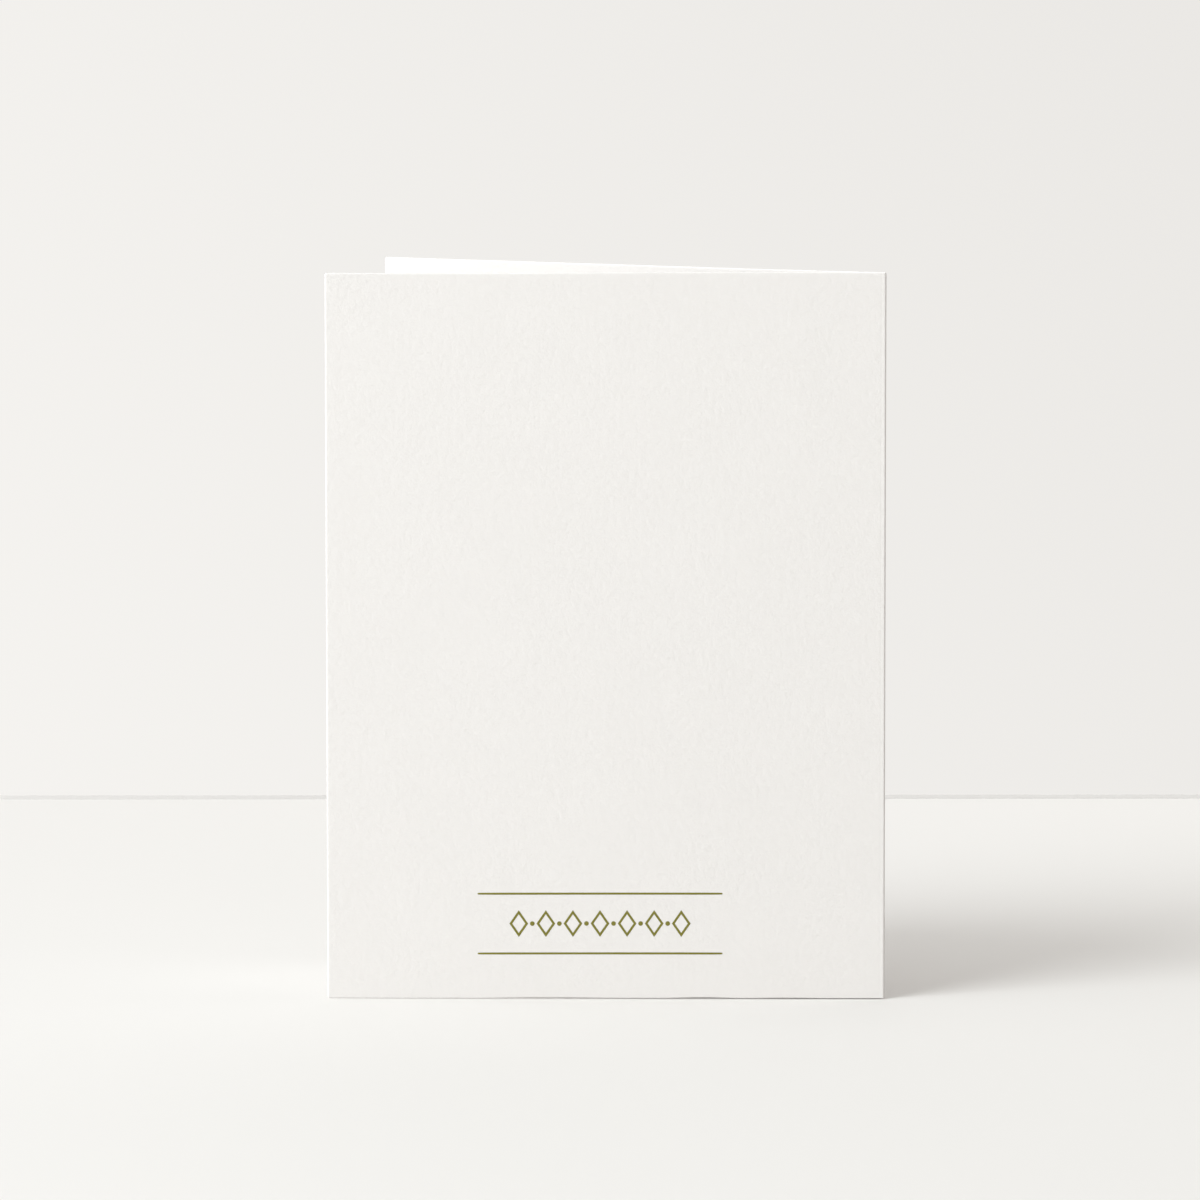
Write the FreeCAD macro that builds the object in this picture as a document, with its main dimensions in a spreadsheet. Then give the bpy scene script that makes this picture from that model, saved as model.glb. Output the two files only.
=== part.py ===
"""A folded greeting card standing open on its bottom edges, in millimetres.

The card is one sheet of heavy card stock, creased down its middle and folded once. The
fold stands upright at +X, the back panel lies on the -Y side and the front cover on the
+Y side, and the two open towards -X. The origin is at the middle of the card's footprint,
on the surface that it stands on. A small ornament is printed in ink at the foot of the
back panel.
"""
import FreeCAD, Part
import math
import os
import Sketcher

# Driving dimensions, each with what it measures. Lengths in millimetres, angles in degrees.
SIZES = [
    ("panel_width", 107.0, "from the nose of the fold to a panel's free edge"),
    ("panel_height", 139.7, "along the fold"),
    ("sheet_thickness", 0.4, "caliper of the card stock"),
    ("opening_angle", 24.4, "between the two panels, as the card stands"),
    ("fold_inner_radius", 0.15, "radius inside the bend"),
    ("corner_radius", 0.3, "blunting of a panel's free corners, seen square on"),
    ("edge_rounding", 0.11, "rounding of the cut edges, across the sheet"),
    ("crease_distance", 0.3, "from the end of the bend to the middle of a crease line"),
    ("crease_width", 0.5, "width of a crease line on the outer face"),
    ("crease_depth", 0.04, "depth of a crease line"),
    ("ink_thickness", 0.03, "height of the ink above the sheet"),
    ("ornament_offset", 1.1, "ornament's middle, outward of the back panel's middle"),
    ("ornament_height", 14.5, "ornament's middle, above the bottom edge"),
    ("lozenge_width", 3.6, "of one lozenge, along the row"),
    ("lozenge_height", 5.2, "of one lozenge, up the panel"),
    ("lozenge_line", 0.45, "width of a lozenge's outline"),
    ("lozenge_pitch", 5.2, "from one lozenge to the next"),
    ("lozenge_count", 7, "lozenges in the row"),
    ("dot_diameter", 0.9, "of the dots between the lozenges"),
    ("rule_length", 47.0, "of each plain rule"),
    ("rule_width", 0.4, "of each plain rule"),
    ("rule_gap", 3.0, "between a rule and the tips of the lozenges"),
]

# Expressions that more than one feature needs.
HALF_ANGLE = "(sizes.opening_angle / 2)"
OUTER_RADIUS = "(sizes.fold_inner_radius + sizes.sheet_thickness)"
FLAT_LENGTH = f"(sizes.panel_width - {OUTER_RADIUS})"
EDGE_RADIUS = "min(sizes.edge_rounding; 0.3 * sizes.sheet_thickness)"
FREE_EDGE_X = (f"(sizes.fold_inner_radius * sin({HALF_ANGLE}) - {FLAT_LENGTH} * cos({HALF_ANGLE})"
               f" + {EDGE_RADIUS} * (sin({HALF_ANGLE}) + cos({HALF_ANGLE}) - 1))")
BEND_CENTRE_X = f"(-({OUTER_RADIUS} + {FREE_EDGE_X}) / 2)"
LOZENGES = "round(sizes.lozenge_count)"
ROW_LENGTH = f"(({LOZENGES} - 1) * sizes.lozenge_pitch)"
ORNAMENT_REACH = f"(sizes.panel_width / 2 + sizes.ornament_offset - {OUTER_RADIUS})"

# How a sketch numbers an edge's own points, and its fixed geometry.
START, END, CENTRE = range(1, 4)
X_AXIS, Y_AXIS = range(-1, -3, -1)
ORIGIN = (X_AXIS, START)

# Two sizes this near to each other are the same.
CLOSE = 1e-6


def make_sizes(doc):
    """Put the driving dimensions in a sheet, one row each: name, value, what it measures."""
    sheet = doc.addObject("Spreadsheet::Sheet", "sizes")
    for row, (name, value, note) in enumerate(SIZES, start=1):
        sheet.set(f"A{row}", name)
        sheet.set(f"B{row}", str(value))
        sheet.set(f"C{row}", note)
        sheet.setAlias(f"B{row}", name)
    doc.recompute()
    return sheet


def new_sketch(body, name, plane_role):
    """A sketch on one of the body's own origin planes."""
    sketch = body.newObject("Sketcher::SketchObject", name)
    plane = next(item for item in body.Origin.OriginFeatures if item.Role == plane_role)
    sketch.AttachmentSupport = [(plane, "")]
    sketch.MapMode = "FlatFace"
    return sketch


def add_line(sketch, start, end):
    """A straight edge between two (x, y) points."""
    return sketch.addGeometry(Part.LineSegment(FreeCAD.Vector(*start, 0), FreeCAD.Vector(*end, 0)))


def add_circle(sketch, centre, radius):
    """A circle round an (x, y) point."""
    axis = FreeCAD.Vector(0, 0, 1)
    return sketch.addGeometry(Part.Circle(FreeCAD.Vector(*centre, 0), axis, radius))


def add_outline(sketch, points):
    """A closed outline through (x, y) points, with its edges joined at their ends."""
    edges = [add_line(sketch, *pair) for pair in zip(points, points[1:] + points[:1])]
    for edge, following in zip(edges, edges[1:] + edges[:1]):
        constrain(sketch, "Coincident", edge, END, following, START)
    return edges


def constrain(sketch, kind, *arguments):
    """A constraint that needs no size."""
    return sketch.addConstraint(Sketcher.Constraint(kind, *arguments))


def dimension(sketch, name, kind, *arguments, size):
    """A named constraint whose size is an expression on the sheet."""
    index = sketch.addConstraint(Sketcher.Constraint(kind, *arguments))
    sketch.renameConstraint(index, name)
    sketch.setExpression(f"Constraints.{name}", size)


def add_pad(body, name, sketch, length):
    """A pad of the sketch, as long as the expression says."""
    pad = body.newObject("PartDesign::Pad", name)
    pad.Profile = sketch
    pad.setExpression("Length", length)
    return pad


def draw_section(body, sizes):
    """The folded sheet seen from above: two flats joined by the bend, which is at the origin.

    The flats are drawn from their free ends to the bend, the back panel first. Each flat is
    tangent to both arcs of the bend, so the sheet keeps its thickness all the way round.
    """
    sketch = new_sketch(body, "section", "XY_Plane")
    inner = sizes.fold_inner_radius
    outer = inner + sizes.sheet_thickness
    length = sizes.panel_width - outer
    flats = {}
    for panel, side in (("back", -1), ("front", 1)):
        turn = FreeCAD.Rotation(FreeCAD.Vector(0, 0, 1), -side * sizes.opening_angle / 2)
        for face, radius in (("inner", inner), ("outer", outer)):
            free_end = turn.multVec(FreeCAD.Vector(-length, side * radius, 0))
            bend_end = turn.multVec(FreeCAD.Vector(0, side * radius, 0))
            flats[panel, face] = sketch.addGeometry(Part.LineSegment(free_end, bend_end))
    for face, radius in (("inner", inner), ("outer", outer)):
        ends = [FreeCAD.Vector(sketch.Geometry[flats[panel, face]].EndPoint) for panel in ("back", "front")]
        bend = sketch.addGeometry(Part.Arc(ends[0], FreeCAD.Vector(radius, 0, 0), ends[1]))
        constrain(sketch, "Coincident", bend, CENTRE, *ORIGIN)
        constrain(sketch, "Tangent", bend, START, flats["back", face], END)
        constrain(sketch, "Tangent", bend, END, flats["front", face], END)
        radius_size = OUTER_RADIUS if face == "outer" else "sizes.fold_inner_radius"
        dimension(sketch, f"{face}_radius", "Radius", bend, radius, size=radius_size)
    for panel in ("back", "front"):
        starts = [sketch.Geometry[flats[panel, face]].StartPoint for face in ("inner", "outer")]
        cut = sketch.addGeometry(Part.LineSegment(*starts))
        constrain(sketch, "Coincident", cut, START, flats[panel, "inner"], START)
        constrain(sketch, "Coincident", cut, END, flats[panel, "outer"], START)
        constrain(sketch, "Perpendicular", cut, flats[panel, "outer"])
        constrain(sketch, "Parallel", flats[panel, "inner"], flats[panel, "outer"])
    constrain(sketch, "Symmetric", flats["back", "outer"], START, flats["front", "outer"], START, X_AXIS)
    dimension(sketch, "flat_length", "Distance", flats["back", "outer"], length, size=FLAT_LENGTH)
    dimension(sketch, "half_angle", "Angle", flats["back", "outer"], FreeCAD.Units.Quantity(
        f"{sizes.opening_angle / 2} deg"), size=HALF_ANGLE)
    return sketch


def draw_creases(body, sizes):
    """The two crease lines beside the bend, as circles that dip into the outer faces.

    A circle that cuts a groove of width w and depth d has radius (w * w / 4 + d * d) / (2 * d),
    and its centre stands that radius less d away from the face.
    """
    sketch = new_sketch(body, "creases", "XY_Plane")
    radius_size = "((sizes.crease_width ^ 2 / 4 + sizes.crease_depth ^ 2) / (2 * sizes.crease_depth))"
    stand_off = f"({OUTER_RADIUS} + {radius_size} - sizes.crease_depth)"
    radius = (sizes.crease_width ** 2 / 4 + sizes.crease_depth ** 2) / (2 * sizes.crease_depth)
    away = sizes.fold_inner_radius + sizes.sheet_thickness + radius - sizes.crease_depth
    for panel, side in (("back", -1), ("front", 1)):
        turn = FreeCAD.Rotation(FreeCAD.Vector(0, 0, 1), -side * sizes.opening_angle / 2)
        centre = turn.multVec(FreeCAD.Vector(-sizes.crease_distance, side * away, 0))
        circle = add_circle(sketch, (centre.x, centre.y), radius)
        dimension(sketch, f"{panel}_radius", "Radius", circle, radius, size=radius_size)
        dimension(sketch, f"{panel}_x", "DistanceX", *ORIGIN, circle, CENTRE, centre.x,
                  size=f"{stand_off} * sin({HALF_ANGLE}) - sizes.crease_distance * cos({HALF_ANGLE})")
        dimension(sketch, f"{panel}_y", "DistanceY", *ORIGIN, circle, CENTRE, centre.y,
                  size=f"{side} * ({stand_off} * cos({HALF_ANGLE})"
                       f" + sizes.crease_distance * sin({HALF_ANGLE}))")
    return sketch


def corner_edges(shape, thickness):
    """Names of the level edges as long as the sheet is thick: those across its four free corners."""
    names = []
    for number, edge in enumerate(shape.Edges, start=1):
        start, end = (vertex.Point for vertex in edge.Vertexes)
        level = math.isclose(start.z, end.z, abs_tol=CLOSE)
        if level and math.isclose(edge.Length, thickness, abs_tol=CLOSE):
            names.append(f"Edge{number}")
    return names


def rim_edges(shape):
    """Names of the edges where two faces meet squarely: all round both faces' rims."""
    names = []
    for number, edge in enumerate(shape.Edges, start=1):
        middle = edge.valueAt((edge.FirstParameter + edge.LastParameter) / 2)
        normals = []
        for face in shape.ancestorsOfType(edge, Part.Face):
            normals.append(face.normalAt(*face.Surface.parameter(middle)))
        if math.isclose(normals[0].dot(normals[1]), 0, abs_tol=CLOSE):
            names.append(f"Edge{number}")
    return names


def make_card(doc, sizes):
    """The folded sheet: a padded section, blunted corners, rounded cut edges, then the creases."""
    body = doc.addObject("PartDesign::Body", "card")
    body.Label = "card"
    body.setExpression("Placement.Base.x", BEND_CENTRE_X)

    folded_sheet = add_pad(body, "folded_sheet", draw_section(body, sizes), "sizes.panel_height")
    doc.recompute()

    corners = body.newObject("PartDesign::Fillet", "blunt_corners")
    corners.Base = (folded_sheet, corner_edges(folded_sheet.Shape, sizes.sheet_thickness))
    corners.setExpression("Radius", "sizes.corner_radius")
    doc.recompute()

    rounding = body.newObject("PartDesign::Fillet", "rounded_edges")
    rounding.Base = (corners, rim_edges(corners.Shape))
    rounding.setExpression("Radius", EDGE_RADIUS)
    doc.recompute()

    creases = body.newObject("PartDesign::Pocket", "crease_lines")
    creases.Profile = draw_creases(body, sizes)
    creases.Type = "ThroughAll"
    creases.Reversed = True
    doc.recompute()
    return body


def draw_lozenge(body, sizes):
    """One outlined lozenge, the first of the row, drawn as one outline inside another.

    The outer corners stand on the row's middle line and on the lozenge's own middle line.
    The inner sides run parallel to the outer ones, one line width inside them.
    """
    sketch = new_sketch(body, "lozenge_outline", "XZ_Plane")
    half_width = sizes.lozenge_width / 2
    half_height = sizes.lozenge_height / 2
    middle = -(sizes.lozenge_count - 1) * sizes.lozenge_pitch / 2
    outlines = []
    for scale in (1.0, 0.6):
        outlines.append(add_outline(sketch, [
            (middle - scale * half_width, 0),
            (middle, -scale * half_height),
            (middle + scale * half_width, 0),
            (middle, scale * half_height),
        ]))
    outer, inner = outlines
    for outline in outlines:
        constrain(sketch, "PointOnObject", outline[0], START, X_AXIS)
        constrain(sketch, "PointOnObject", outline[2], START, X_AXIS)
        constrain(sketch, "Symmetric", outline[1], START, outline[3], START, X_AXIS)
        constrain(sketch, "Equal", outline[0], outline[1])
    constrain(sketch, "Parallel", outer[0], inner[0])
    constrain(sketch, "Vertical", outer[1], START, inner[1], START)
    dimension(sketch, "width", "DistanceX", outer[0], START, outer[2], START, 2 * half_width,
              size="sizes.lozenge_width")
    dimension(sketch, "height", "DistanceY", outer[1], START, outer[3], START, 2 * half_height,
              size="sizes.lozenge_height")
    dimension(sketch, "line", "Distance", inner[0], START, outer[0], sizes.lozenge_line,
              size="sizes.lozenge_line")
    dimension(sketch, "first_place", "DistanceX", outer[1], START, *ORIGIN, -middle,
              size=f"{ROW_LENGTH} / 2")
    return sketch


def draw_dot(body, sizes):
    """The first dot, halfway between the first two lozenges."""
    sketch = new_sketch(body, "dot_outline", "XZ_Plane")
    place = (2 - sizes.lozenge_count) * sizes.lozenge_pitch / 2
    dot = add_circle(sketch, (place, 0), sizes.dot_diameter / 2)
    constrain(sketch, "PointOnObject", dot, CENTRE, X_AXIS)
    dimension(sketch, "diameter", "Diameter", dot, sizes.dot_diameter, size="sizes.dot_diameter")
    dimension(sketch, "first_place", "DistanceX", dot, CENTRE, *ORIGIN, -place,
              size=f"({ROW_LENGTH} - sizes.lozenge_pitch) / 2")
    return sketch


def draw_rules(body, sizes):
    """A long thin bar above the row of lozenges and another below it."""
    sketch = new_sketch(body, "rule_outlines", "XZ_Plane")
    half_length = sizes.rule_length / 2
    near = sizes.lozenge_height / 2 + sizes.rule_gap
    for name, side in (("lower", -1), ("upper", 1)):
        bottom = min(side * near, side * (near + sizes.rule_width))
        top = bottom + sizes.rule_width
        bar = add_outline(sketch, [
            (-half_length, bottom),
            (half_length, bottom),
            (half_length, top),
            (-half_length, top),
        ])
        constrain(sketch, "Symmetric", bar[0], START, bar[0], END, Y_AXIS)
        constrain(sketch, "Vertical", bar[1])
        constrain(sketch, "Horizontal", bar[2])
        constrain(sketch, "Vertical", bar[3])
        dimension(sketch, f"{name}_length", "DistanceX", bar[0], START, bar[0], END, 2 * half_length,
                  size="sizes.rule_length")
        dimension(sketch, f"{name}_width", "DistanceY", bar[1], START, bar[1], END, sizes.rule_width,
                  size="sizes.rule_width")
        near_edge = bar[0] if side > 0 else bar[2]
        ends = (ORIGIN, (near_edge, START)) if side > 0 else ((near_edge, START), ORIGIN)
        dimension(sketch, f"{name}_place", "DistanceY", *ends[0], *ends[1], near,
                  size="sizes.lozenge_height / 2 + sizes.rule_gap")
    return sketch


def repeat_along_row(body, name, feature, sketch, count, length):
    """Copies of a feature along the row, evenly spaced over a length."""
    pattern = body.newObject("PartDesign::LinearPattern", name)
    pattern.Originals = [feature]
    pattern.Direction = (sketch, ["H_Axis"])
    pattern.setExpression("Occurrences", count)
    pattern.setExpression("Length", length)
    body.Tip = pattern
    return pattern


def make_ornament(doc, sizes):
    """The ink on the back panel: a row of lozenges and dots between two rules.

    It is drawn upright on the body's own XZ plane, padded towards -Y, and then laid on the
    back panel's outer face by the body's placement.
    """
    body = doc.addObject("PartDesign::Body", "printed_ornament")
    body.Label = "printed_ornament"
    body.AllowCompound = True
    body.Placement.Rotation = FreeCAD.Rotation(FreeCAD.Vector(0, 0, 1), sizes.opening_angle / 2)
    body.setExpression("Placement.Rotation.Angle", HALF_ANGLE)
    body.setExpression("Placement.Base.x", f"{BEND_CENTRE_X} + {OUTER_RADIUS} * sin({HALF_ANGLE})"
                                           f" - {ORNAMENT_REACH} * cos({HALF_ANGLE})")
    body.setExpression("Placement.Base.y", f"-{OUTER_RADIUS} * cos({HALF_ANGLE})"
                                           f" - {ORNAMENT_REACH} * sin({HALF_ANGLE})")
    body.setExpression("Placement.Base.z", "sizes.ornament_height")

    add_pad(body, "rules", draw_rules(body, sizes), "sizes.ink_thickness")

    lozenge_sketch = draw_lozenge(body, sizes)
    lozenge = add_pad(body, "first_lozenge", lozenge_sketch, "sizes.ink_thickness")
    doc.recompute()
    repeat_along_row(body, "lozenge_row", lozenge, lozenge_sketch, LOZENGES, ROW_LENGTH)
    doc.recompute()

    dot_sketch = draw_dot(body, sizes)
    dot = add_pad(body, "first_dot", dot_sketch, "sizes.ink_thickness")
    doc.recompute()
    repeat_along_row(body, "dot_row", dot, dot_sketch, f"{LOZENGES} - 1",
                     f"{ROW_LENGTH} - sizes.lozenge_pitch")
    doc.recompute()
    return body


def check_model(doc, bodies, sizes):
    """Stop if a feature failed, a shape is broken or the ornament has lost a piece."""
    for item in doc.Objects:
        if "Invalid" in item.State or "Error" in item.State:
            raise RuntimeError(f"{item.Name} failed: {item.State}")
        if item.TypeId == "Sketcher::SketchObject" and not item.FullyConstrained:
            raise RuntimeError(f"{item.Name} has a size that nothing sets")
    for body in bodies:
        if body.Shape.isNull() or not body.Shape.isValid():
            raise RuntimeError(f"{body.Label} has no valid shape")
    card, ornament = bodies
    if len(card.Shape.Solids) != 1:
        raise RuntimeError("the card is one solid")
    rules = 2
    if len(ornament.Shape.Solids) != rules + 2 * round(sizes.lozenge_count) - 1:
        raise RuntimeError("the ornament has lost a piece")


def write_parts(bodies):
    """Write each sub-part's shape to a file named after its label."""
    os.makedirs("parts", exist_ok=True)
    for body in bodies:
        body.Shape.exportStep(f"parts/{body.Label}.step")


def main():
    """Build the document, check it and write its parts."""
    doc = FreeCAD.newDocument("greeting_card")
    sizes = make_sizes(doc)
    bodies = [make_card(doc, sizes), make_ornament(doc, sizes)]
    doc.recompute()
    check_model(doc, bodies, sizes)
    write_parts(bodies)
    for body in bodies:
        box = body.Shape.BoundBox
        print(body.Label, "solids", len(body.Shape.Solids), "volume", round(body.Shape.Volume, 3))
        print("  x", round(box.XMin, 3), round(box.XMax, 3), "y", round(box.YMin, 3), round(box.YMax, 3),
              "z", round(box.ZMin, 3), round(box.ZMax, 3))


main()
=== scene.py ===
"""The looks of a folded greeting card that stands open on a pale floor.

The card is one sheet of felt-finish card stock. It is built here as a surface over the
unfolded sheet, whose two coordinates are the distance along the sheet from the nose of the
fold (negative on the back panel, positive on the front cover) and the height above the
bottom edge. The ornament's ink is laid on the same surface.
"""
import math

import bpy
import numpy as np
from mathutils import Matrix, Vector


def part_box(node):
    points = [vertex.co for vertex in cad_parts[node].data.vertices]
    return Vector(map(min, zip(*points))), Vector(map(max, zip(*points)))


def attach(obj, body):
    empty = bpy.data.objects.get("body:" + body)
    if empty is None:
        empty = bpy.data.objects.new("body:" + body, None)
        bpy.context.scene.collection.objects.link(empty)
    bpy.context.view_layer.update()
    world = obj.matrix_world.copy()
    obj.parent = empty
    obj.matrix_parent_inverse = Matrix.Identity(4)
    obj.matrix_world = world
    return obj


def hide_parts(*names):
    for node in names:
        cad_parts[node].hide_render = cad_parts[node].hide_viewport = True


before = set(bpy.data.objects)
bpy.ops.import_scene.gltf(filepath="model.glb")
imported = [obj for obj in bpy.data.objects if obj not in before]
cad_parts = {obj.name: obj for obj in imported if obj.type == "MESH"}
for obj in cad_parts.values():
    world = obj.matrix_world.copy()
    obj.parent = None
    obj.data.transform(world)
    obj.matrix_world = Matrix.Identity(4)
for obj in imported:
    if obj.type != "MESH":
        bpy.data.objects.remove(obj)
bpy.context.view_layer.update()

MM = 0.001

# The sheet and its fold. The crease is shallower than in the solids, as it hardly shows.
OPENING = math.radians(24.4)
SHEET_THICKNESS = 0.4 * MM
BEND_INNER_RADIUS = 0.15 * MM
CREASE_DISTANCE = 0.3 * MM
CREASE_WIDTH = 0.5 * MM
CREASE_DEPTH = 0.012 * MM
CORNER_RADIUS = 0.4 * MM
RIM_WIDTH = 0.38 * MM
FOOT_RIM_WIDTH = 0.12 * MM
FOOT_RIM_REACH = 1.5 * MM
NOSE_SQUARENESS = 3.5
# How far in from the cut rims the painted highlight reaches, which whitens them where light catches
# them.
RIM_HIGHLIGHT_WIDTH = 0.12 * MM
FOLD_SIDE = 6 * MM

# How far the real sheet strays from flat: the bow, the swell with its three waves, and where
# beside the fold the swell starts and how soon it is full. Each wave has its lengths along the
# sheet and up it and its start in turns, and the second and third are smaller than the first.
PANEL_BOW = 0.3 * MM
PANEL_SWELL = 0.05 * MM
CROSSED_WAVE = (83 * MM, 127 * MM)
CROSSED_START = (0.31, 0.12)
RISING_WAVE = (47 * MM, 71 * MM)
RISING_START = 0.4
RISING_SHARE = 0.6
FALLING_WAVE = (61 * MM, 39 * MM)
FALLING_START = 0.7
FALLING_SHARE = 0.4
SWELL_START = 4 * MM
SWELL_GROWTH = 25 * MM

# How far the nose strays from straight: by how much, in a long wave and a smaller short one,
# and how far round.
NOSE_WANDER = 0.005 * MM
NOSE_LONG_WAVE = 11.3 * MM
NOSE_SHORT_WAVE = 4.7 * MM
NOSE_SHORT_START = 0.3
NOSE_SHORT_SHARE = 0.8
NOSE_REACH = 1.2 * MM

# How far the back panel's foot stays off the floor: a rise that fades towards the free edge,
# and three places where it is larger, each with its distance from the nose, its reach to
# each side and its height. The places' own rise is gone at a small height above the foot.
# The front cover's foot stands on the floor, and comes down to it just past the nose.
FOOT_RISE = 0.17 * MM
FOOT_RISE_LEFT = 0.2
FOOT_FADE_START = 45 * MM
FOOT_FADE_LENGTH = 60 * MM
FOOT_LANDING = 2 * MM
FOOT_WAVES = (
    (65 * MM, 16 * MM, 0.14 * MM),
    (35 * MM, 9 * MM, 0.17 * MM),
    (19 * MM, 9 * MM, 0.08 * MM),
)
FOOT_WAVE_FADE = 7 * MM

# How far the sheet is cut out of square: its top edge stands a little high beside the nose.
TOP_RISE = 0.22 * MM
TOP_RISE_PLACE = 25 * MM
TOP_RISE_REACH = 60 * MM

# The ornament, centred a little outward of the back panel's middle.
ORNAMENT_OFFSET = 1.1 * MM
ORNAMENT_HEIGHT = 14.5 * MM
LOZENGE_WIDTH = 3.6 * MM
LOZENGE_HEIGHT = 5.2 * MM
LOZENGE_LINE = 0.45 * MM
LOZENGE_PITCH = 5.2 * MM
LOZENGE_COUNT = 7
DOT_DIAMETER = 0.9 * MM
RULE_LENGTH = 47.0 * MM
RULE_WIDTH = 0.4 * MM
RULE_GAP = 3.0 * MM
INK_FILM = 0.03 * MM

# How the sheet is cut into steps: along it the bend, the crease beside it, the stretch next to
# that, the rest of the panel and the rim at its free edge, and up it the face between two rims.
BEND_STEPS = 26
CREASE_STEPS = 16
FOLD_SIDE_STEPS = 8
PANEL_STEPS = 62
RIM_STEPS = 10
FACE_STEPS = 90

# How the ornament is cut into steps, and the shapes of its films: the powers of the
# superellipses that round a line's section and outline a dot and a rule.
SECTION_STEPS = 12
LOZENGE_SIDE_STEPS = 8
DOT_STEPS = 24
RULE_STEPS = 96
SECTION_SQUARENESS = 4
DOT_SQUARENESS = 2
RULE_SQUARENESS = 12

# A filled patch's section, from the middle of its top out to its rim and back underneath:
# how far out and how high, as shares. Past the flat part, the rim keeps the narrow side's form.
PATCH_OUT = np.array([0.0, 0.5, 0.86, 0.95, 1.0, 0.95, 0.5, 0.0])
PATCH_RISE = np.array([1.0, 1.0, 1.0, 0.85, 0.4, 0.0, 0.0, 0.0])
PATCH_FLAT = 0.8

# The photographed view: where the camera stands, where it looks and how long its lens is.
CAMERA_PLACE = (368.5 * MM, -1584.6 * MM, 254.2 * MM)
CAMERA_YAW = math.radians(-13.22)
CAMERA_PITCH = math.radians(6.256)
CAMERA_ROLL = math.radians(-0.043)
CAMERA_LENS = 254.94
CAMERA_SENSOR = 36.0
CAMERA_SIGHT = 20.0

# The felt finish, in millimetres: the felt's own hills, and the fine tooth of the fibres. Real
# fibres are a few hundredths of a millimetre wide, too fine to show, and are drawn at 0.35.
FELT = {"Scale": 1 / 1.3, "Detail": 3.0, "Roughness": 0.6}
FELT_HEIGHT = 0.093
TOOTH = {"Scale": 1 / 0.35, "Detail": 1.0, "Roughness": 0.5}
TOOTH_HEIGHT = 0.004

# The stock's tone wavers a little over some millimetres, and the ink's with the fibres.
STOCK_CLOUD = {"Scale": 1 / 9.0, "Detail": 4.0}
STOCK_SHADE = "#E3E0DE"
STOCK_LIGHT = "#E5E2E0"
# The cut rims are painted whiter than the faces: a painted highlight where light catches them.
RIM_HIGHLIGHT_COLOUR = "#F6F4F3"
INK_MOTTLE = {"Scale": 1 / 0.35, "Detail": 3.0}
INK_SHADE = "#6F6A1C"
INK_LIGHT = "#7D782E"

# The floor, in metres: how far it reaches behind the card and to the other sides, the lip at
# its far edge, its colours, the lip's darker one being painted shade, and its grain of 2.5
# millimetres with its height in millimetres.
FLOOR_BEHIND = 0.279
FLOOR_REACH = 3.0
FLOOR_LIP = 0.9 * MM
FLOOR_COLOUR = "#E7E5E3"
# The lip's colour is painted shade, darker than the floor.
LIP_PAINTED_SHADE = "#DCDAD8"
BOARD_GRAIN = {"Scale": 400.0, "Detail": 3.0}
BOARD_GRAIN_HEIGHT = 0.02

# The sky: its colour on the left and on the right, and how it changes from one to the other
# along x, y and z.
SKY_LEFT = "#FBFAF7"
SKY_RIGHT = "#837D79"
SKY_FADE = (-0.5, 0.0, -0.265)
SKY_STRENGTH = 1.25

# The lamps: soft area lights aimed at the card's foot. The azimuth counts from the front,
# rightwards, and the elevation from the floor, both in degrees. The rest is metres and watts.
LAMPS = (
    {"name": "key_light", "shape": "ELLIPSE", "width": 1.32, "height": 1.46, "azimuth": -37.1,
     "elevation": 42.6, "distance": 2.28, "power": 28.3, "colour": "#F9FEFF"},
    {"name": "low_strip", "shape": "RECTANGLE", "width": 1.80, "height": 0.50, "azimuth": -68.2,
     "elevation": 10.0, "distance": 1.60, "power": 10.0, "colour": "#F1F9FF"},
    {"name": "back_wash", "shape": "RECTANGLE", "width": 0.60, "height": 0.30, "azimuth": -181.0,
     "elevation": 31.4, "distance": 0.54, "power": 0.374, "colour": "#FFFFFD"},
    {"name": "front_fill", "shape": "RECTANGLE", "width": 1.40, "height": 0.90, "azimuth": 20.0,
     "elevation": 12.0, "distance": 2.20, "power": 4.0, "colour": "#F5FFFC"},
    {"name": "overhead", "shape": "ELLIPSE", "width": 1.50, "height": 1.50, "azimuth": -20.0,
     "elevation": 82.0, "distance": 1.60, "power": 3.02, "colour": "#F5FFFF"},
)

# What the frame gives.
sheet_low, sheet_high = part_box("card")
PANEL_HEIGHT = sheet_high.z
HALF_OPENING = OPENING / 2
BEND_OUTER_RADIUS = BEND_INNER_RADIUS + SHEET_THICKNESS
BEND_RADIUS = BEND_INNER_RADIUS + SHEET_THICKNESS / 2
BEND_HALF_TURN = math.pi / 2 - HALF_OPENING
BEND_CENTRE_X = sheet_high.x - BEND_OUTER_RADIUS
FLAT_SPAN = BEND_CENTRE_X - sheet_low.x + BEND_INNER_RADIUS * math.sin(HALF_OPENING)
FLAT_LENGTH = FLAT_SPAN / math.cos(HALF_OPENING)
PANEL_WIDTH = FLAT_LENGTH + BEND_OUTER_RADIUS
SHEET_REACH = FLAT_LENGTH + BEND_RADIUS * BEND_HALF_TURN


def linear(hex_colour):
    """An sRGB hex colour as linear red, green, blue and alpha."""
    values = [int(hex_colour[i:i + 2], 16) / 255 for i in (1, 3, 5)]
    return [v / 12.92 if v <= 0.04045 else ((v + 0.055) / 1.055) ** 2.4 for v in values] + [1.0]


def smooth_step(x):
    """0 below 0, 1 above 1, and 3 x squared less 2 x cubed between."""
    x = np.clip(x, 0, 1)
    return x * x * (3 - 2 * x)


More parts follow.
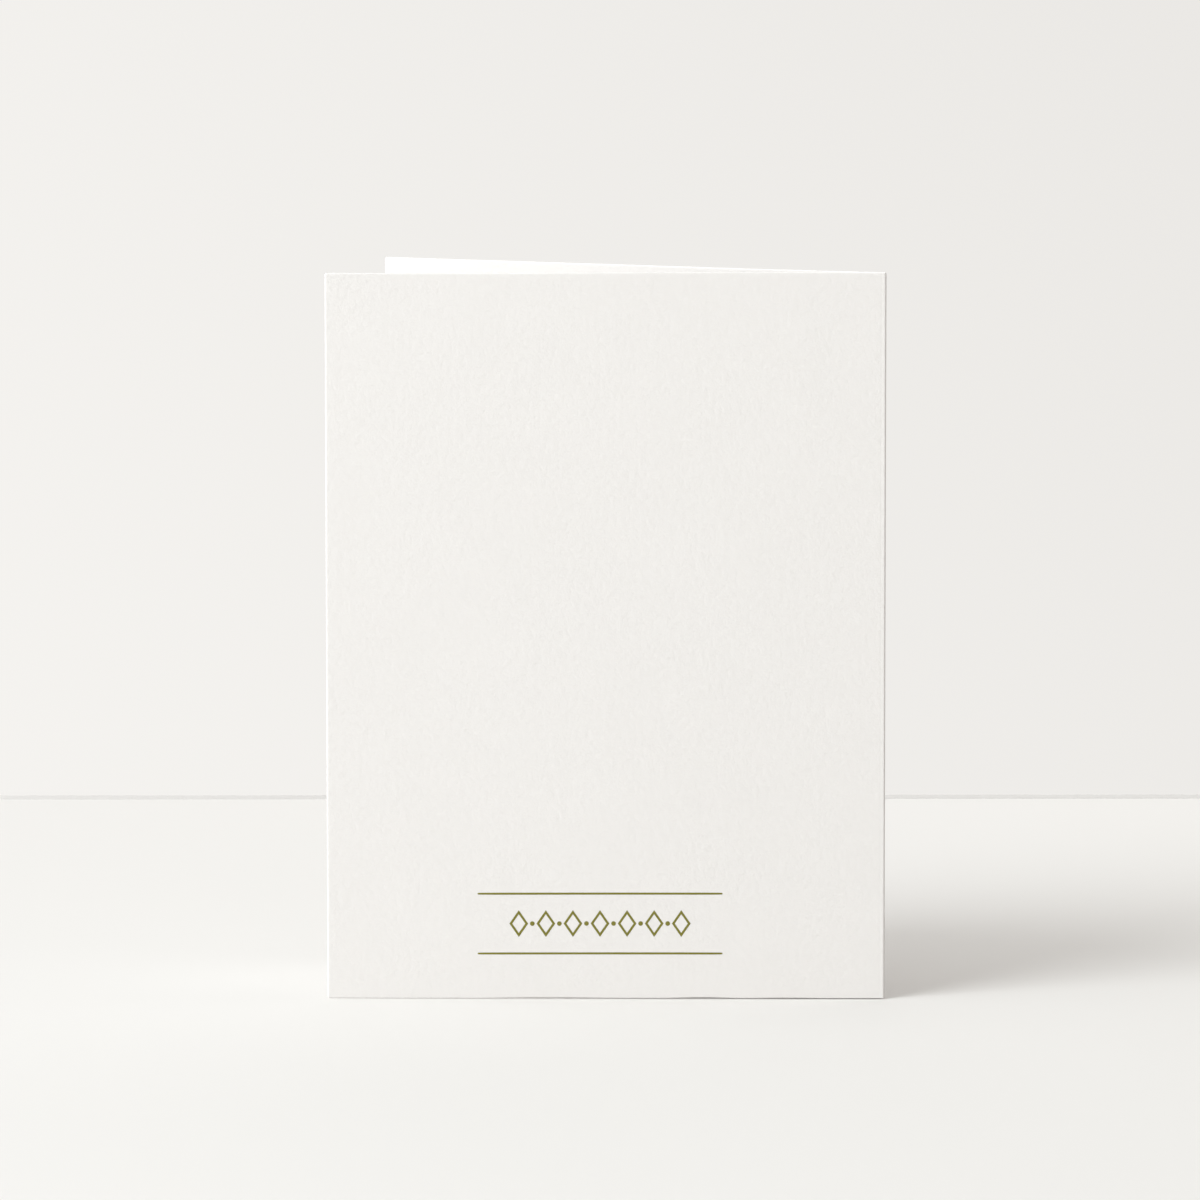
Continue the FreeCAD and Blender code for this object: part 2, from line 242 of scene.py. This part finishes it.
def swell(along, up):
    """How far the sheet strays out of its plane.

    A slight bow, half a sine wave from the fold to the free edge, and three slow waves, held
    flat at the fold: one is a sine along the sheet times a cosine up it, and two run aslant.
    """
    crossed = np.sin(2 * np.pi * (along / CROSSED_WAVE[0] + CROSSED_START[0]))
    crossed = crossed * np.cos(2 * np.pi * (up / CROSSED_WAVE[1] + CROSSED_START[1]))
    rising = np.cos(2 * np.pi * (along / RISING_WAVE[0] + up / RISING_WAVE[1] + RISING_START))
    falling = np.sin(2 * np.pi * (up / FALLING_WAVE[1] - along / FALLING_WAVE[0] + FALLING_START))
    waves = crossed + RISING_SHARE * rising + FALLING_SHARE * falling
    waves = waves / (1 + RISING_SHARE + FALLING_SHARE)
    held = smooth_step((np.abs(along) - SWELL_START) / SWELL_GROWTH)
    bow = PANEL_BOW * np.sin(np.pi * np.clip(np.abs(along) / SHEET_REACH, 0, 1))
    return bow + PANEL_SWELL * waves * held


def nose_wander(along, up):
    """The bend's outer side is a little uneven along the fold, where the fibres gave way.

    The sum of a long and a short sine wave up the fold, which fades out to both sides of it.
    """
    waves = np.sin(2 * np.pi * up / NOSE_LONG_WAVE)
    short = np.sin(2 * np.pi * (up / NOSE_SHORT_WAVE + NOSE_SHORT_START))
    waves = waves + NOSE_SHORT_SHARE * short
    held = 1 - smooth_step(np.abs(along) / NOSE_REACH)
    return NOSE_WANDER * waves / (1 + NOSE_SHORT_SHARE) * held


def crease(along):
    """Depth of the pressed line beside the bend: a cosine bell across its width."""
    middle = BEND_RADIUS * BEND_HALF_TURN + CREASE_DISTANCE
    across = np.clip((np.abs(along) - middle) / (CREASE_WIDTH / 2), -1, 1)
    return CREASE_DEPTH * (1 + np.cos(np.pi * across)) / 2


def foot_rise(along, up):
    """How far the foot stays off the floor: a rise that fades along it, and a cosine bell per wave.

    The first fades out towards the top, and the waves within a few millimetres of the foot.
    Both come down to 0 past the nose.
    """
    away = -along
    fallen = (1 - FOOT_RISE_LEFT) * smooth_step((away - FOOT_FADE_START) / FOOT_FADE_LENGTH)
    rise = FOOT_RISE * (1 - fallen) * (1 - up / PANEL_HEIGHT)
    wave_share = 1 - smooth_step(up / FOOT_WAVE_FADE)
    for place, reach, height in FOOT_WAVES:
        across = np.clip((away - place) / reach, -1, 1)
        rise = rise + height * (1 + np.cos(np.pi * across)) / 2 * wave_share
    return rise * (1 - smooth_step(along / FOOT_LANDING))


def top_rise(along):
    """How far the top edge stands high: a cosine bell, centred on the back panel beside the nose."""
    across = np.clip((-along - TOP_RISE_PLACE) / TOP_RISE_REACH, -1, 1)
    return TOP_RISE * (1 + np.cos(np.pi * across)) / 2


def nose_shoulders(turn):
    """How far the bend's outer side stands proud of its circle: a superellipse's radius less 1.

    A scored fold is flat across its nose and bends mostly at its two shoulders. The radius is
    (cos ** n + sin ** n) ** (-1 / n), with the bend's half turn stretched to a right angle.
    """
    stretched = np.abs(turn) / BEND_HALF_TURN * np.pi / 2
    powers = np.cos(stretched) ** NOSE_SQUARENESS + np.sin(stretched) ** NOSE_SQUARENESS
    return BEND_OUTER_RADIUS * (powers ** (-1 / NOSE_SQUARENESS) - 1)


def place_on_sheet(along, up, lift):
    """Points of the folded sheet.

    The middle surface follows a circle round the bend's centre and leaves it along the
    tangents: point = centre + radius * normal + (along - radius * turn) * tangent, where turn
    is along / radius, held between the bend's two ends. lift goes out along the normal. The
    nose's shoulders are added in proportion to a point's share of the outer side, 0 on the
    inner face and 1 on the outer. The rise of the top edge fades out towards the foot.
    """
    turn = np.clip(along / BEND_RADIUS, -BEND_HALF_TURN, BEND_HALF_TURN)
    outer_share = np.clip(0.5 + lift / SHEET_THICKNESS, 0, 1)
    out = BEND_RADIUS + lift + swell(along, up) + outer_share * nose_shoulders(turn)
    beyond = along - BEND_RADIUS * turn
    rise = foot_rise(along, up) + top_rise(along) * up / PANEL_HEIGHT
    return np.stack([
        BEND_CENTRE_X + out * np.cos(turn) - beyond * np.sin(turn),
        out * np.sin(turn) + beyond * np.cos(turn),
        up + rise,
    ], axis=-1)


def graded(*stretches):
    """Grid lines along one side: each stretch is (start, end, steps, law), law being even or round.

    A round stretch is stepped like the quarter of a circle, closest at the end that is named.
    """
    lines = []
    for start, end, steps, law in stretches:
        t = np.linspace(0, 1, steps + 1)
        if law == "round at start":
            t = 1 - np.cos(t * np.pi / 2)
        if law == "round at end":
            t = np.sin(t * np.pi / 2)
        lines.append(start + (end - start) * t)
    return np.concatenate([lines[0]] + [line[1:] for line in lines[1:]])


def blunt_corners(along, up):
    """The grid with its four corner squares drawn in to quarter discs, and the distances to the rim.

    In a corner square, p and q run from 0 inside to 1 at the two sides. The point goes to
    (p * sqrt(1 - q * q / 2), q * sqrt(1 - p * p / 2)), which keeps the square's inner sides
    and turns its outer corner to an arc.
    """
    side_along = SHEET_REACH - np.abs(along)
    side_up = np.minimum(up, PANEL_HEIGHT - up)
    p = np.clip(1 - side_along / CORNER_RADIUS, 0, 1)
    q = np.clip(1 - side_up / CORNER_RADIUS, 0, 1)
    in_corner = (p > 0) & (q > 0)
    new_p = p * np.sqrt(1 - q * q / 2)
    new_q = q * np.sqrt(1 - p * p / 2)
    along = np.where(in_corner, along - np.sign(along) * (p - new_p) * CORNER_RADIUS, along)
    upward = np.where(up > PANEL_HEIGHT / 2, 1, -1)
    up = np.where(in_corner, up - upward * (q - new_q) * CORNER_RADIUS, up)
    from_arc = CORNER_RADIUS * (1 - np.hypot(new_p, new_q))
    from_rim = np.where(in_corner, from_arc, np.minimum(side_along, side_up))
    return along, up, np.maximum(from_rim, 0)


def half_thickness(from_rim, up):
    """Half of the sheet's thickness, which falls to nothing at the rim along a quarter of an ellipse.

    The ellipse is narrow at the foot, which the floor keeps square, and wide elsewhere.
    """
    width = FOOT_RIM_WIDTH + (RIM_WIDTH - FOOT_RIM_WIDTH) * smooth_step(up / FOOT_RIM_REACH)
    inward = np.clip(1 - from_rim / width, 0, 1)
    return SHEET_THICKNESS / 2 * np.sqrt(1 - inward * inward)


def sheet_uv(along, up, face):
    """Where a point lies on the unfolded sheet, as shares of its size, the inner face on top."""
    share_up = np.clip(up / PANEL_HEIGHT, 0, 1)
    return np.stack([0.5 + along / (2 * SHEET_REACH), (share_up + face) / 2], axis=-1)


def make_piece(name, points, quads, uvs, material):
    """A mesh from points, quads and one UV for each corner of each quad, shaded smooth.

    Where a quad's corner repeats the one before it, at a pole, the quad becomes a triangle.
    Points that no quad uses are left out.
    """
    used, numbers = np.unique(quads, return_inverse=True)
    quads = numbers.reshape(quads.shape)
    kept = quads != np.roll(quads, 1, axis=1)
    faces = [quad[corners].tolist() for quad, corners in zip(quads, kept)]
    mesh = bpy.data.meshes.new(name)
    mesh.from_pydata(points[used].tolist(), [], faces)
    layer = mesh.uv_layers.new(name="sheet")
    layer.data.foreach_set("uv", uvs[kept].astype(np.float32).ravel())
    mesh.polygons.foreach_set("use_smooth", np.ones(len(mesh.polygons), bool))
    mesh.materials.append(material)
    mesh.update()
    piece = bpy.data.objects.new(name, mesh)
    bpy.context.scene.collection.objects.link(piece)
    return piece


def grid_quads(index):
    """The quads of a grid of point numbers, wound so that first x second side points outwards."""
    corners = [index[:-1, :-1], index[1:, :-1], index[1:, 1:], index[:-1, 1:]]
    return np.stack(corners, axis=-1).reshape(-1, 4)


def make_sheet(material):
    """The folded sheet: an outer and an inner face over one grid, sharing the points of the rim.

    The point attribute for the painted highlight is 1 on the cut rims, apart from the foot's, which
    stands in shade, and 0 on the faces.
    """
    bend_end = BEND_RADIUS * BEND_HALF_TURN
    crease_end = bend_end + CREASE_DISTANCE + CREASE_WIDTH
    half = graded(
        (0, bend_end, BEND_STEPS, "even"),
        (bend_end, crease_end, CREASE_STEPS, "even"),
        (crease_end, FOLD_SIDE, FOLD_SIDE_STEPS, "even"),
        (FOLD_SIDE, SHEET_REACH - CORNER_RADIUS, PANEL_STEPS, "even"),
        (SHEET_REACH - CORNER_RADIUS, SHEET_REACH, RIM_STEPS, "round at end"),
    )
    along_lines = np.concatenate([-half[:0:-1], half])
    up_lines = graded(
        (0, CORNER_RADIUS, RIM_STEPS, "round at start"),
        (CORNER_RADIUS, PANEL_HEIGHT - CORNER_RADIUS, FACE_STEPS, "even"),
        (PANEL_HEIGHT - CORNER_RADIUS, PANEL_HEIGHT, RIM_STEPS, "round at end"),
    )
    along, up, from_rim = blunt_corners(*np.meshgrid(along_lines, up_lines, indexing="ij"))
    lift = half_thickness(from_rim, up)
    outer = place_on_sheet(along, up, lift - crease(along) * (from_rim > 0) + nose_wander(along, up))
    inner = place_on_sheet(along, up, -lift)

    outer_index = np.arange(outer.shape[0] * outer.shape[1]).reshape(outer.shape[:2])
    inside = np.zeros(outer_index.shape, bool)
    inside[1:-1, 1:-1] = True
    inner_index = outer_index.copy()
    inner_index[inside] = outer_index.size + np.arange(inside.sum())

    outer_quads = grid_quads(outer_index)
    inner_quads = grid_quads(inner_index)[:, ::-1]
    outer_uvs = sheet_uv(along, up, 0).reshape(-1, 2)[outer_quads]
    inner_uvs = sheet_uv(along, up, 1).reshape(-1, 2)[outer_quads[:, ::-1]]
    piece = make_piece(
        "folded_sheet",
        np.concatenate([outer.reshape(-1, 3), inner[inside]]),
        np.concatenate([outer_quads, inner_quads]),
        np.concatenate([outer_uvs, inner_uvs]),
        material,
    )
    # A painted highlight on the cut rims, left off the foot, which stands in shade.
    rim_highlight = (1 - smooth_step(from_rim / RIM_HIGHLIGHT_WIDTH)) * smooth_step(up / FOOT_RIM_REACH)
    shares = np.concatenate([rim_highlight.ravel(), rim_highlight[inside]]).astype(np.float32)
    piece.data.attributes.new("rim_highlight", "FLOAT", "POINT").data.foreach_set("value", shares)
    return piece


def ink_profile(steps):
    """A line's section: across from -1 to 1 and back, height from 0 to 1, on a superellipse.

    Each is the sign of the cosine or sine times its size to the power 2 / squareness.
    """
    turn = np.linspace(0, 2 * np.pi, steps, endpoint=False)
    power = 2 / SECTION_SQUARENESS
    across = np.sign(np.cos(turn)) * np.abs(np.cos(turn)) ** power
    height = 0.5 + np.sign(np.sin(turn)) * np.abs(np.sin(turn)) ** power / 2
    return across, height


def lozenge_ring(centre_x):
    """One outlined lozenge: the film's section carried round a lozenge, mitred at its corners.

    At a distance d inside the outline's outer edge, each half diagonal is shorter by d times
    the side's length over the other half diagonal.
    """
    half_line = LOZENGE_LINE / 2
    half_x, half_y = LOZENGE_WIDTH / 2, LOZENGE_HEIGHT / 2
    side = math.hypot(half_x, half_y)
    across, height = ink_profile(SECTION_STEPS)
    inset = (across - 1) * half_line
    reach_x = half_x + inset * side / half_y
    reach_y = half_y + inset * side / half_x
    corner = np.arange(0, 4, 1 / LOZENGE_SIDE_STEPS)
    x = np.where(corner < 2, 1 - corner, corner - 3)
    y = np.where(corner < 1, corner, np.where(corner < 3, 2 - corner, corner - 4))
    return centre_x + np.outer(x, reach_x), np.outer(y, reach_y), np.tile(height, (len(x), 1))


def film_patch(centre_x, centre_y, half_x, half_y, squareness, steps):
    """A filled patch of ink: the patch's section, spun round superellipse outlines.

    The outlines are (cos, sin), each with its size to the power 2 / squareness. Near the rim
    the reach is the half width less the rim's share of the narrower half.
    """
    turn = np.linspace(0, 2 * np.pi, steps, endpoint=False)
    x = np.sign(np.cos(turn)) * np.abs(np.cos(turn)) ** (2 / squareness)
    y = np.sign(np.sin(turn)) * np.abs(np.sin(turn)) ** (2 / squareness)
    in_rim = PATCH_OUT > PATCH_FLAT
    from_rim = (1 - PATCH_OUT) * min(half_x, half_y)
    reach_x = np.where(in_rim, half_x - from_rim, PATCH_OUT * half_x)
    reach_y = np.where(in_rim, half_y - from_rim, PATCH_OUT * half_y)
    height = np.tile(PATCH_RISE, (len(x), 1))
    return centre_x + np.outer(x, reach_x), centre_y + np.outer(y, reach_y), height


def film_quads(shape, ring):
    """The quads of a film whose outline closes on itself, over a grid of points of that shape.

    A ring's section closes on itself too, and a patch's two end columns are each one pole.
    """
    index = np.arange(shape[0] * shape[1]).reshape(shape)
    if not ring:
        index[:, 0] = index[0, 0]
        index[:, -1] = index[0, -1]
    closed = np.concatenate([index, index[:1]])
    if ring:
        closed = np.concatenate([closed, closed[:, :1]], axis=1)
    return grid_quads(closed)[:, ::-1]


def make_ornament(material):
    """The printed ornament, each shape a closed film on the back panel's outer face."""
    row = (LOZENGE_COUNT - 1) * LOZENGE_PITCH
    dot = DOT_DIAMETER / 2
    shapes = []
    for number in range(LOZENGE_COUNT):
        shapes.append((lozenge_ring(number * LOZENGE_PITCH - row / 2), True))
    for number in range(LOZENGE_COUNT - 1):
        centre_x = (number + 0.5) * LOZENGE_PITCH - row / 2
        shapes.append((film_patch(centre_x, 0, dot, dot, DOT_SQUARENESS, DOT_STEPS), False))
    rule_place = LOZENGE_HEIGHT / 2 + RULE_GAP + RULE_WIDTH / 2
    for centre_y in (-rule_place, rule_place):
        rule = film_patch(0, centre_y, RULE_LENGTH / 2, RULE_WIDTH / 2, RULE_SQUARENESS, RULE_STEPS)
        shapes.append((rule, False))

    from_bend = PANEL_WIDTH / 2 + ORNAMENT_OFFSET - BEND_OUTER_RADIUS
    middle = -(from_bend + BEND_RADIUS * BEND_HALF_TURN)
    points, quads, uvs = [], [], []
    count = 0
    for (x, y, height), ring in shapes:
        along = middle + x
        up = ORNAMENT_HEIGHT + y
        lift = SHEET_THICKNESS / 2 + height * INK_FILM
        points.append(place_on_sheet(along, up, lift).reshape(-1, 3))
        shape_quads = film_quads(x.shape, ring)
        uvs.append(sheet_uv(along, up, 0).reshape(-1, 2)[shape_quads])
        quads.append(shape_quads + count)
        count += x.size
    return make_piece(
        "ornament_ink",
        np.concatenate(points),
        np.concatenate(quads),
        np.concatenate(uvs),
        material,
    )


def new_material(name):
    """A material with its Principled shader and nothing else, and that shader."""
    material = bpy.data.materials.new(name)
    material.use_nodes = True
    return material, material.node_tree.nodes["Principled BSDF"]


def add_node(tree, kind, settings=None, **links):
    """A node with its settings: a name of its own property, or of an input with a constant value.

    links name an input and give the output socket that feeds it. An input can go by its
    number, as "1" in the settings and _1 in the links.
    """
    node = tree.nodes.new(kind)
    for name, value in (settings or {}).items():
        if hasattr(node, name):
            setattr(node, name, value)
        else:
            node.inputs[int(name) if name.isdigit() else name].default_value = value
    for name, source in links.items():
        tree.links.new(source, node.inputs[int(name[1:]) if name[1:].isdigit() else name])
    return node


def paper_tooth(tree):
    """The felt finish, as a normal, and the coordinates that it follows.

    They are millimetres on the unfolded sheet, whose two faces lie one above the other. The
    height is the sum of the felt's and the tooth's noise, each times its own height.
    """
    place = add_node(tree, "ShaderNodeUVMap", {"uv_map": "sheet"}).outputs["UV"]
    spread = (2 * SHEET_REACH / MM, 2 * PANEL_HEIGHT / MM, 1)
    on_sheet = add_node(tree, "ShaderNodeMapping", {"Scale": spread}, Vector=place).outputs["Vector"]
    felt = add_node(tree, "ShaderNodeTexNoise", FELT, Vector=on_sheet)
    tooth = add_node(tree, "ShaderNodeTexNoise", TOOTH, Vector=on_sheet)
    felt_height = add_node(
        tree, "ShaderNodeMath", {"operation": "MULTIPLY", "1": FELT_HEIGHT}, _0=felt.outputs["Fac"],
    )
    height = add_node(
        tree, "ShaderNodeMath", {"operation": "MULTIPLY_ADD", "1": TOOTH_HEIGHT},
        _0=tooth.outputs["Fac"], _2=felt_height.outputs[0],
    )
    bump = add_node(tree, "ShaderNodeBump", {"Distance": MM}, Height=height.outputs[0])
    return on_sheet, bump.outputs["Normal"]


def card_stock():
    """Uncoated felt-finish card stock, warm white.

    Wood fibre pressed against a felt: the face scatters light evenly, with no gloss, and its
    shallow hills, a little over a millimetre wide, show faintly where light rakes across
    them. The cut rims carry a painted highlight: they are painted whiter than the faces,
    except at the foot, which stands in shade.
    """
    material, shader = new_material("uncoated_felt_finish_card_stock")
    tree = material.node_tree
    on_sheet, normal = paper_tooth(tree)
    cloud = add_node(tree, "ShaderNodeTexNoise", STOCK_CLOUD, Vector=on_sheet)
    face = add_node(tree, "ShaderNodeMix", {"data_type": "RGBA"}, Factor=cloud.outputs["Fac"])
    face.inputs["A"].default_value = linear(STOCK_SHADE)
    face.inputs["B"].default_value = linear(STOCK_LIGHT)
    # A painted highlight: the cut rims are mixed to a whiter colour by their attribute.
    rim_highlight = add_node(tree, "ShaderNodeAttribute", {"attribute_name": "rim_highlight"}).outputs["Fac"]
    colour = add_node(tree, "ShaderNodeMix", {"data_type": "RGBA"}, Factor=rim_highlight)
    tree.links.new(face.outputs["Result"], colour.inputs["A"])
    colour.inputs["B"].default_value = linear(RIM_HIGHLIGHT_COLOUR)
    tree.links.new(colour.outputs["Result"], shader.inputs["Base Color"])
    tree.links.new(normal, shader.inputs["Normal"])
    shader.inputs["Roughness"].default_value = 0.85
    shader.inputs["IOR"].default_value = 1.5
    shader.inputs["Specular IOR Level"].default_value = 0.3
    return material


def olive_ink():
    """Olive offset ink on uncoated stock: matt, soaked in, with the paper's tooth showing through."""
    material, shader = new_material("matt_olive_offset_ink")
    tree = material.node_tree
    on_sheet, normal = paper_tooth(tree)
    mottle = add_node(tree, "ShaderNodeTexNoise", INK_MOTTLE, Vector=on_sheet)
    colour = add_node(tree, "ShaderNodeMix", {"data_type": "RGBA"}, Factor=mottle.outputs["Fac"])
    colour.inputs["A"].default_value = linear(INK_SHADE)
    colour.inputs["B"].default_value = linear(INK_LIGHT)
    tree.links.new(colour.outputs["Result"], shader.inputs["Base Color"])
    tree.links.new(normal, shader.inputs["Normal"])
    shader.inputs["Roughness"].default_value = 0.7
    shader.inputs["IOR"].default_value = 1.5
    return material


def pale_board(name, colour):
    """Pale matt board: a faint grain and no gloss."""
    material, shader = new_material(name)
    tree = material.node_tree
    place = add_node(tree, "ShaderNodeTexCoord").outputs["Object"]
    grain = add_node(tree, "ShaderNodeTexNoise", BOARD_GRAIN, Vector=place)
    height = add_node(
        tree, "ShaderNodeMath", {"operation": "MULTIPLY", "1": BOARD_GRAIN_HEIGHT},
        _0=grain.outputs["Fac"],
    )
    bump = add_node(tree, "ShaderNodeBump", {"Distance": MM}, Height=height.outputs[0])
    tree.links.new(bump.outputs["Normal"], shader.inputs["Normal"])
    shader.inputs["Base Color"].default_value = linear(colour)
    shader.inputs["Roughness"].default_value = 0.9
    shader.inputs["Specular IOR Level"].default_value = 0.2
    return material


def make_floor():
    """The floor, whose far edge lies square to the camera's aim, where the photo's floor ends.

    A low lip stands along that edge, coloured darker than the floor: painted shade for the thin shade
    line where floor and wall meet.
    """
    aim = np.array([math.sin(CAMERA_YAW), math.cos(CAMERA_YAW), 0])
    across = np.array([math.cos(CAMERA_YAW), -math.sin(CAMERA_YAW), 0])
    far, near = aim * FLOOR_BEHIND, -aim * FLOOR_REACH
    lip = far + np.array([0, 0, FLOOR_LIP])
    side = across * FLOOR_REACH
    mesh = bpy.data.meshes.new("floor")
    points = [near - side, near + side, far + side, far - side, lip + side, lip - side]
    mesh.from_pydata(points, [], [(0, 1, 2, 3), (3, 2, 4, 5)])
    mesh.materials.append(pale_board("pale_matt_board", FLOOR_COLOUR))
    # The lip's darker colour is painted shade along the floor's far edge.
    mesh.materials.append(pale_board("pale_matt_board_lip_painted_shade", LIP_PAINTED_SHADE))
    mesh.polygons[1].material_index = 1
    floor = bpy.data.objects.new("floor", mesh)
    bpy.context.scene.collection.objects.link(floor)
    return floor


def make_camera():
    """The photograph's camera."""
    look = Vector((
        math.sin(CAMERA_YAW) * math.cos(CAMERA_PITCH),
        math.cos(CAMERA_YAW) * math.cos(CAMERA_PITCH),
        -math.sin(CAMERA_PITCH),
    ))
    level_right = Vector((math.cos(CAMERA_YAW), -math.sin(CAMERA_YAW), 0))
    level_up = level_right.cross(look)
    right = level_right * math.cos(CAMERA_ROLL) + level_up * math.sin(CAMERA_ROLL)
    up = level_up * math.cos(CAMERA_ROLL) - level_right * math.sin(CAMERA_ROLL)
    data = bpy.data.cameras.new("camera")
    data.lens = CAMERA_LENS
    data.sensor_width = CAMERA_SENSOR
    data.clip_end = CAMERA_SIGHT
    camera = bpy.data.objects.new("camera", data)
    turned = Matrix((right, up, -look)).transposed().to_4x4()
    camera.matrix_world = Matrix.Translation(CAMERA_PLACE) @ turned
    bpy.context.scene.collection.objects.link(camera)
    bpy.context.scene.camera = camera
    return camera


def add_lamp(name, shape, width, height, azimuth, elevation, distance, power, colour):
    """A soft area light that faces the card's foot."""
    turn, rise = math.radians(azimuth), math.radians(elevation)
    towards = Vector((
        math.sin(turn) * math.cos(rise),
        -math.cos(turn) * math.cos(rise),
        math.sin(rise),
    ))
    data = bpy.data.lights.new(name, "AREA")
    data.shape = shape
    data.size = width
    data.size_y = height
    data.energy = power
    data.color = linear(colour)[:3]
    lamp = bpy.data.objects.new(name, data)
    facing = towards.to_track_quat("Z", "Y").to_matrix().to_4x4()
    lamp.matrix_world = Matrix.Translation(towards * distance) @ facing
    bpy.context.scene.collection.objects.link(lamp)
    return lamp


def make_light():
    """The lamps, and a sky that fades rightwards and upwards.

    The key stands left of the front like a window. A low strip on the left rakes the paper, a
    weak wash from behind stands for the light that the pale background gives back, and a
    front fill and an overhead panel lift the shadows.
    """
    for lamp in LAMPS:
        add_lamp(**lamp)

    world = bpy.data.worlds.new("pale_studio")
    world.use_nodes = True
    tree = world.node_tree
    background = tree.nodes["Background"]
    direction = add_node(tree, "ShaderNodeTexCoord").outputs["Generated"]
    fading = add_node(
        tree, "ShaderNodeVectorMath", {"operation": "DOT_PRODUCT", "1": SKY_FADE}, _0=direction,
    )
    share = add_node(
        tree, "ShaderNodeMath", {"operation": "ADD", "1": 0.5}, _0=fading.outputs["Value"],
    )
    shade = add_node(tree, "ShaderNodeMix", {"data_type": "RGBA"}, Factor=share.outputs[0])
    shade.inputs["A"].default_value = linear(SKY_RIGHT)
    shade.inputs["B"].default_value = linear(SKY_LEFT)
    tree.links.new(shade.outputs["Result"], background.inputs["Color"])
    background.inputs["Strength"].default_value = SKY_STRENGTH
    bpy.context.scene.world = world
    bpy.context.scene.view_settings.view_transform = "Standard"


make_camera()
sheet = make_sheet(card_stock())
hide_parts("card")
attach(sheet, "root")

ink = make_ornament(olive_ink())
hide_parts("printed_ornament")
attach(ink, "root")

make_floor()
make_light()
